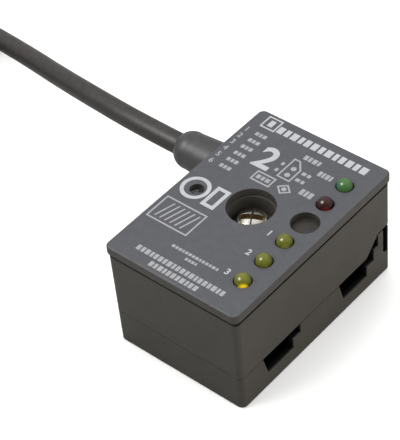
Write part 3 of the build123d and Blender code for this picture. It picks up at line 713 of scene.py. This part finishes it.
def crossCutter(look):
    mesh = bmesh.new()
    floor, lid = look["top"] - look["recessDepth"], look["top"] + look["cutterRise"]
    rings = []
    for height in (floor, lid):
        rise = (height - floor) / look["recessDepth"]
        narrowing = look["armFoot"] + (1 - look["armFoot"]) * rise
        halves = [width / 2 * narrowing for width in look["armWidth"]]
        reach = look["armReach"] + look["armLean"] * (rise - 1)
        ring = []
        for arm in range(4):
            turn = math.radians(look["recessTurn"] + 90 * arm)
            half, inner = halves[arm % 2], halves[1 - arm % 2]
            for along, side in ((reach, -half), (reach, half), (inner, half)):
                x = along * math.cos(turn) - side * math.sin(turn)
                y = along * math.sin(turn) + side * math.cos(turn)
                ring.append(mesh.verts.new((screwAxis.x + x * mm, screwAxis.y + y * mm, height * mm)))
        rings.append(ring)
    lower, upper = rings
    mesh.faces.new(list(reversed(lower)))
    mesh.faces.new(upper)
    for number in range(len(lower)):
        after = (number + 1) % len(lower)
        mesh.faces.new((lower[number], lower[after], upper[after], upper[number]))
    data = bpy.data.meshes.new("recessCutter")
    mesh.to_mesh(data)
    mesh.free()
    return linkObject("recessCutter", data)


def makeScrew(look):
    mesh = bmesh.new()
    sides = look["sides"]
    rings = [latheRing(mesh, look["shankRadius"] - look["tipTaper"], look["tip"], sides)]
    height = look["tip"] + look["tipTaper"]
    while height < look["threadTop"]:         # thread
        rings.append(latheRing(mesh, look["shankRadius"], height, sides, threadWobble(look)))
        height += look["threadPitch"] / look["threadSteps"]
    rings.append(latheRing(mesh, look["shankRadius"], height, sides))
    rings.append(latheRing(mesh, look["shankRadius"], look["groove"][0], sides))
    rings += [latheRing(mesh, radius, level, sides) for radius, level in screwProfile(look)]
    for lower, upper in zip(rings, rings[1:]):
        for number in range(sides):
            after = (number + 1) % sides
            mesh.faces.new((lower[number], lower[after], upper[after], upper[number]))
    mesh.faces.new(list(reversed(rings[0])))
    peak = mesh.verts.new((screwAxis.x, screwAxis.y, look["top"] * mm))
    for number in range(sides):
        mesh.faces.new((rings[-1][number], rings[-1][(number + 1) % sides], peak))
    data = bpy.data.meshes.new("recessedScrew")
    mesh.to_mesh(data)
    mesh.free()
    data.materials.append(materials["zincScrew"])
    piece = linkObject("recessedScrew", data)
    cutter = crossCutter(look)
    cut = piece.modifiers.new("recess", "BOOLEAN")
    cut.object, cut.operation, cut.solver = cutter, "DIFFERENCE", "EXACT"
    cutMesh = bpy.data.meshes.new_from_object(piece.evaluated_get(bpy.context.evaluated_depsgraph_get()))
    piece.modifiers.clear()
    piece.data = cutMesh
    bpy.data.objects.remove(cutter, do_unlink=True)
    for face in cutMesh.polygons:
        face.use_smooth = True
    cutMesh.set_sharp_from_angle(angle=math.radians(look["sharpAngle"]))
    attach(piece, "screw")
    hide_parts("fixing_screw")


makeScrew(screw)
print("screw cut")

# lead: its route from the strain relief, its coil and its free end, in metres
lead = {
    "diameter": 0.0044,
    "run": [
        (-0.02745, 0.0125, 0.01565), (-0.03845, 0.0125, 0.01565), (-0.05245, 0.0145, 0.01404),
        (-0.06595, 0.0179, 0.01070), (-0.07945, 0.0218, 0.00715), (-0.09195, 0.0248, 0.00419),
        (-0.10295, 0.0266, 0.00247), (-0.11045, 0.0272, 0.00231),
    ],
    "coilCentre": (-0.11795, -0.0022),
    "lowTurns": (0.0294, 0.0250, 0.0206),    # radii, on the floor
    "highTurns": (0.0228, 0.0272),           # radii, in the grooves above
    "layer": (0.0022, 0.0060),               # heights of the two layers
    "startAngle": 97,
    "turnPoints": 24,
    "crossing": 4,                           # points in which a turn moves over to the next
    "tail": [
        (-0.11397, 0.02613, 0.00686), (-0.12531, 0.02731, 0.00651), (-0.13689, 0.02386, 0.00550),
        (-0.14635, 0.01555, 0.00405), (-0.15154, 0.00372, 0.00273), (-0.15144, -0.00932, 0.00224),
        (-0.14634, -0.02135, 0.00224), (-0.13953, -0.02884, 0.00224), (-0.13300, -0.03305, 0.00224),
    ],
}


def coilPoints(look):
    centreX, centreY = look["coilCentre"]
    count, crossing = look["turnPoints"], look["crossing"]
    low, high = look["layer"]
    turns = [(radius, low) for radius in look["lowTurns"]]
    turns += [(radius, high) for radius in look["highTurns"]]
    points = []
    for turn, (radius, height) in enumerate(turns):
        after = turns[turn + 1] if turn + 1 < len(turns) else None
        lastLow = height == low and after is not None and after[1] == high
        for step in range(count):
            angle = math.radians(look["startAngle"]) + 2 * math.pi * step / count
            share = max(0.0, (step - count + crossing) / crossing)
            reach, level = radius, height
            if lastLow:                       # climbs before it crosses, clear of the turn outside it
                level = low + (high - low) * min(1.0, max(0.0, (step - count + 2 * crossing) / crossing))
                reach = radius + (after[0] - radius) * share * share
            elif after is not None:
                reach = radius + (after[0] - radius) * share
            if after is None and step > count - crossing // 2:
                break
            points.append((centreX + reach * math.cos(angle), centreY + reach * math.sin(angle), level))
    return points


def makeTube(name, points, diameter, finish, sides=6):
    data = bpy.data.curves.new(name, "CURVE")
    data.dimensions = "3D"
    data.bevel_depth = diameter / 2
    data.bevel_resolution = sides
    data.use_fill_caps = True
    data.resolution_u = 8
    spline = data.splines.new("NURBS")
    spline.points.add(len(points) - 1)
    for point, place in zip(spline.points, points):
        point.co = (*place, 1.0)
    spline.order_u = 3
    spline.use_endpoint_u = True
    data.materials.append(materials[finish])
    tube = linkObject(name, data)
    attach(tube, "module")
    return tube


leadPoints = lead["run"] + coilPoints(lead) + lead["tail"]
sheathedLead = makeTube("sheathedLead", leadPoints, lead["diameter"], "leadSheath")
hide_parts("lead", "lead_coil", "lead_tail")

# the six open cores at the lead's end
coreEnds = {
    "diameter": 0.0013,
    "finishes": ("coreWhite", "coreBrown", "coreGreen", "coreYellow", "coreGrey", "corePink"),
    "ranks": (1, 0, 2, 4, 5, 3),
    "length": 0.018,
    "spread": 0.0016,
    "ring": 0.00135,
    "seat": 0.00028,
    "turn": 30.0,
}


def corePoints(look, number):
    end, before = Vector(lead["tail"][-1]), Vector(lead["tail"][-2])
    ahead = (end - before).normalized()
    turned = Matrix.Rotation(math.radians(look["turn"]), 3, "Z") @ ahead
    side = Vector((-ahead.y, ahead.x, 0))
    down = Vector((0, 0, look["diameter"] / 2 - end.z))
    angle = 2 * math.pi * (number + 0.5) / len(look["ranks"])
    out = side * (look["ring"] * math.cos(angle)) + Vector((0, 0, look["ring"] * math.sin(angle)))
    spread = side * (-look["ranks"][number] * look["spread"])
    half = look["length"] / 2
    return [end + out + ahead * look["seat"], end + ahead * half + spread / 2 + down,
            end + (ahead + turned) * half + spread + down]


for number, finish in enumerate(coreEnds["finishes"]):
    wire = makeTube(f"coreWire{number + 1}", corePoints(coreEnds, number), coreEnds["diameter"],
                    finish, 4)
    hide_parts("core_ends")

print("lead wound")

# print on the lid: a thin layer of ink in plain fields, blocks and numbers, in mm on the lid's face
inkLayer = {"thickness": 0.02, "sink": 0.01, "stroke": 0.32, "rhythm": (1.0, 0.8, 1.1, 0.7, 0.9),
            "gap": 0.35}
boldInk = {
    "square": (-12.4, -9.1, 18.2, 21.5),      # left, right, low, high
    "squareCore": (-11.3, -10.2, 19.0, 20.7),
    "header": ((-8.8, 11.5, 18.5, 20.3), 13),
    "ringCentre": (-11.2, -1.6),
    "ringRadii": (2.9, 2.15),
    "tile": (-8.0, -5.0, -4.3, 1.1),
    "tileStroke": 0.75,
}
fineInk = {
    "table": [((-11.6, -9.1, 15.7 - 2.08 * row, 16.6 - 2.08 * row), 3) for row in range(6)],
    "rows": [
        ((-0.2, 3.4, 15.6, 16.8), 4), ((4.5, 7.5, 13.6, 14.9), 4), ((4.7, 7.4, 7.9, 9.4), 3),
        ((-5.1, 5.3, -15.4, -14.8), 14), ((-1.1, 1.5, -16.6, -16.0), 4),
        ((-9.9, 9.8, -19.5, -18.3), 20), ((-5.5, 5.3, -21.3, -20.1), 11), ((-4.2, -1.3, 6.8, 7.8), 3),
        ((2.1, 4.0, 12.1, 12.9), 2), ((2.1, 4.0, 10.2, 11.0), 2), ((-2.6, -2.0, 12.1, 12.9), 1),
        ((-2.6, -2.0, 10.2, 11.0), 1),
    ],
    "box": (-4.9, -0.6, 6.0, 8.6),
    "field": ((-1.4, 9.3), (1.6, 9.3), (1.6, 12.9), (0.0, 14.9), (-1.4, 14.9)),
    "dots": ((0.15, 12.5), (0.15, 10.6)),
    "dotRadius": 0.55,
    "rhombus": (2.0, 7.3, 1.6, 1.4),          # centre, half diagonals
    "rhombusDot": 0.5,
    "hatched": (-14.0, -4.6, -12.1, -6.0),
    "hatchLines": 7,
    "hatchStroke": 0.3,
    "hatchMargin": 0.9,
}


def rectangle(left, right, low, high):
    return [(left, low), (right, low), (right, high), (left, high)]


def insetLoop(loop, stroke):
    centre = sum((Vector(point) for point in loop), Vector((0, 0))) / len(loop)
    inner = []
    for number, point in enumerate(loop):
        here = Vector(point)
        along = (Vector(loop[(number + 1) % len(loop)]) - here).normalized()
        back = (Vector(loop[number - 1]) - here).normalized()
        middle = (along + back).normalized()
        inner.append(tuple(here + middle * (stroke / math.sin(along.angle(middle)))))
    return inner


def roundLoop(centre, radius, sides=48):
    turn = 2 * math.pi / sides
    return [(centre[0] + radius * math.cos(step * turn), centre[1] + radius * math.sin(step * turn))
            for step in range(sides)]


def blockRow(place, count):
    left, right, low, high = place
    widths = [inkLayer["rhythm"][number % len(inkLayer["rhythm"])] for number in range(count)]
    unit = (right - left) / (sum(widths) + inkLayer["gap"] * (count - 1))
    loops = []
    for width in widths:
        loops.append(rectangle(left, left + width * unit, low, high))
        left += (width + inkLayer["gap"]) * unit
    return loops


def makePrint(name, blocks, bands, finish):
    bottom, top = faceHeight - inkLayer["sink"] * mm, faceHeight + inkLayer["thickness"] * mm
    mesh = bmesh.new()

    def ring(loop, height):
        return [mesh.verts.new((x * mm, y * mm, height)) for x, y in loop]

    def wall(lower, upper):
        for number in range(len(lower)):
            after = (number + 1) % len(lower)
            mesh.faces.new((lower[number], lower[after], upper[after], upper[number]))

    for loop in blocks:
        lower, upper = ring(loop, bottom), ring(loop, top)
        mesh.faces.new(upper)
        mesh.faces.new(list(reversed(lower)))
        wall(lower, upper)
    for outer, inner in bands:
        outLow, outHigh = ring(outer, bottom), ring(outer, top)
        inLow, inHigh = ring(inner, bottom), ring(inner, top)
        wall(outLow, outHigh)
        wall(outHigh, inHigh)
        wall(inHigh, inLow)
        wall(inLow, outLow)
    data = bpy.data.meshes.new(name)
    mesh.to_mesh(data)
    mesh.free()
    data.materials.append(materials[finish])
    piece = linkObject(name, data)
    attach(piece, "module")
    return piece


def bandOf(loop, stroke):
    return loop, insetLoop(loop, stroke)


makePrint(
    "boldPrint",
    [rectangle(*boldInk["squareCore"]), *blockRow(*boldInk["header"])],
    [bandOf(rectangle(*boldInk["square"]), inkLayer["stroke"]),
     tuple(roundLoop(boldInk["ringCentre"], radius) for radius in boldInk["ringRadii"]),
     bandOf(rectangle(*boldInk["tile"]), boldInk["tileStroke"])],
    "inkWhite")

fineRows = fineInk["table"] + fineInk["rows"]
fineBlocks = [loop for place, count in fineRows for loop in blockRow(place, count)]
fineBlocks += [roundLoop(dot, fineInk["dotRadius"], 16) for dot in fineInk["dots"]]
left, right, low, high = fineInk["hatched"]
lineStep = (right - left) / (fineInk["hatchLines"] + 1)
hatchLow, hatchHigh = low + fineInk["hatchMargin"], high - fineInk["hatchMargin"]
for line in range(1, fineInk["hatchLines"]):
    start = left + line * lineStep
    end = start + fineInk["hatchStroke"]
    fineBlocks.append([(start, hatchLow), (end, hatchLow), (end + lineStep, hatchHigh),
                       (start + lineStep, hatchHigh)])
across, up, halfAcross, halfUp = fineInk["rhombus"]
rhombus = [(across - halfAcross, up), (across, up - halfUp),
           (across + halfAcross, up), (across, up + halfUp)]
fineBlocks.append(roundLoop((across, up), fineInk["rhombusDot"], 16))
fineBands = [bandOf(loop, inkLayer["stroke"]) for loop in (
    rectangle(*fineInk["box"]), list(fineInk["field"]), rhombus, rectangle(*fineInk["hatched"]))]
makePrint("finePrint", fineBlocks, fineBands, "inkGrey")

# plain numbers on the lid
numbers = {
    "tableNumbers": {"body": "1\n2\n3\n4\n5\n6", "corner": (-14.1, 15.6), "size": 1.75, "pitch": 2.08,
                     "bold": 0.03, "finish": "inkGrey"},
    "lampNumbers": {"body": "1\n2\n3", "corner": (6.4, -3.5), "size": 1.9, "pitch": 5.77,
                    "bold": 0.05, "finish": "inkWhite"},
    "fieldNumber": {"body": "2", "corner": (-7.5, 9.3), "size": 7.9, "pitch": 1.0, "bold": 0.18,
                    "finish": "inkWhite"},
}


def makeNumbers(name, look):
    data = bpy.data.curves.new(name, "FONT")
    data.body = look["body"]
    data.size = look["size"] * mm
    data.space_line = look["pitch"] / look["size"]
    data.offset = look["bold"] * mm
    data.extrude = (inkLayer["thickness"] + inkLayer["sink"]) / 2 * mm
    data.resolution_u = 6
    data.materials.append(materials[look["finish"]])
    piece = linkObject(name, data)
    piece.location = (look["corner"][0] * mm, look["corner"][1] * mm,
                      faceHeight + (inkLayer["thickness"] - inkLayer["sink"]) / 2 * mm)
    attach(piece, "module")


for name, look in numbers.items():
    makeNumbers(name, look)
print("lid printed")

# floor and light
stage = {
    "floor": (0.90, 0.90, 0.895),             # as the camera sees it
    "bounce": (0.50, 0.50, 0.49),             # as it lights the part
    "lift": 0.14,                             # keeps the shadow pale
    "floorSide": 3.0,
    "floorDrop": 0.00004,
    "cloud": 0.985,
    "cloudScale": 3.0,
    "rough": 0.9,
    "zenith": (1.02, 1.04, 1.06),
    "horizon": (0.42, 0.42, 0.43),
    "dimSide": (0.69, -0.69, 0.20),           # no lamp stands in front
    "dimShare": 0.75,
    "dimRange": (0.2, 0.9),
    "skyRange": (0.0, 0.75),
}
lamps = {
    "keyPanel": {"place": (-0.55, 0.55, 1.10), "size": 1.1, "power": 7.0, "colour": (0.98, 0.99, 1.0),
                 "seen": False},
    "rightPanel": {"place": (1.10, 0.15, 0.45), "size": 1.0, "power": 11.5, "colour": (1.0, 0.98, 0.94),
                   "seen": False},
    "farPanel": {"place": (0.18, 0.11, 0.035), "size": 0.07, "power": 0.12, "colour": (1.0, 0.93, 0.85),
                 "seen": False},              # small and near, for the far end of the side
    "glintPanel": {"place": (-0.41, -0.47, 0.785), "size": 0.42, "power": 11.0,
                   "colour": (1.0, 1.0, 1.0), "seen": True, "lights": False},
    "sparkPanel": {"place": (-0.41, -0.47, 0.785), "size": 0.56, "power": 7.0,
                   "colour": (1.0, 0.99, 0.97), "seen": True},
}


def makeStage(look):
    half = look["floorSide"] / 2
    corners = [(x, y, -look["floorDrop"]) for x, y in rectangle(-half, half, -half, half)]
    mesh = bpy.data.meshes.new("paleFloor")
    mesh.from_pydata(corners, [], [(0, 1, 2, 3)])
    floor = linkObject("paleFloor", mesh)
    material, tree, shader = newMaterial("paleFloor")
    where = addNode(tree, "ShaderNodeTexCoord").outputs["Object"]
    cloud = noiseAt(tree, where, look["cloudScale"], 3.0)
    shade = tuple(channel * look["cloud"] for channel in look["floor"])
    seen = mixColours(tree, cloud, (*shade, 1), (*look["floor"], 1))
    direct = addNode(tree, "ShaderNodeLightPath").outputs["Is Camera Ray"]
    tree.links.new(mixColours(tree, direct, (*look["bounce"], 1), seen), shader.inputs["Base Color"])
    tree.links.new(mixColours(tree, direct, (0, 0, 0, 1), (1, 1, 1, 1)), shader.inputs["Emission Color"])
    shader.inputs["Emission Strength"].default_value = look["lift"]
    shader.inputs["Roughness"].default_value = look["rough"]
    mesh.materials.append(material)
    world = bpy.data.worlds.new("softSky")
    world.use_nodes = True
    tree = world.node_tree
    toward = addNode(tree, "ShaderNodeTexCoord").outputs["Generated"]
    split = addNode(tree, "ShaderNodeSeparateXYZ")
    tree.links.new(toward, split.inputs[0])
    rise = rampOver(tree, split.outputs["Z"], *look["skyRange"])
    front = addNode(tree, "ShaderNodeVectorMath", operation="DOT_PRODUCT")
    tree.links.new(toward, front.inputs[0])
    front.inputs[1].default_value = look["dimSide"]
    dim = mathNode(tree, "MULTIPLY", rampOver(tree, front.outputs["Value"], *look["dimRange"]),
                   look["dimShare"])
    sky = mixColours(tree, rise, (*look["horizon"], 1), (*look["zenith"], 1))
    tree.links.new(mixColours(tree, dim, sky, (0, 0, 0, 1)), tree.nodes["Background"].inputs["Color"])
    bpy.context.scene.world = world


def makeLamp(name, look):
    data = bpy.data.lights.new(name, "AREA")
    data.shape = "SQUARE"
    data.size = look["size"]
    data.energy = look["power"]
    data.color = look["colour"]
    lamp = linkObject(name, data)
    lamp.visible_camera = False
    lamp.visible_glossy = look["seen"]        # what shows in the shiny pieces
    lamp.visible_diffuse = look.get("lights", True)
    lamp.location = look["place"]
    lamp.rotation_mode = "QUATERNION"
    lamp.rotation_quaternion = (-Vector(look["place"])).to_track_quat("-Z", "Y")


makeStage(stage)
for name, look in lamps.items():
    makeLamp(name, look)
bpy.context.scene.view_settings.view_transform = "Standard"
print("floor and light set")
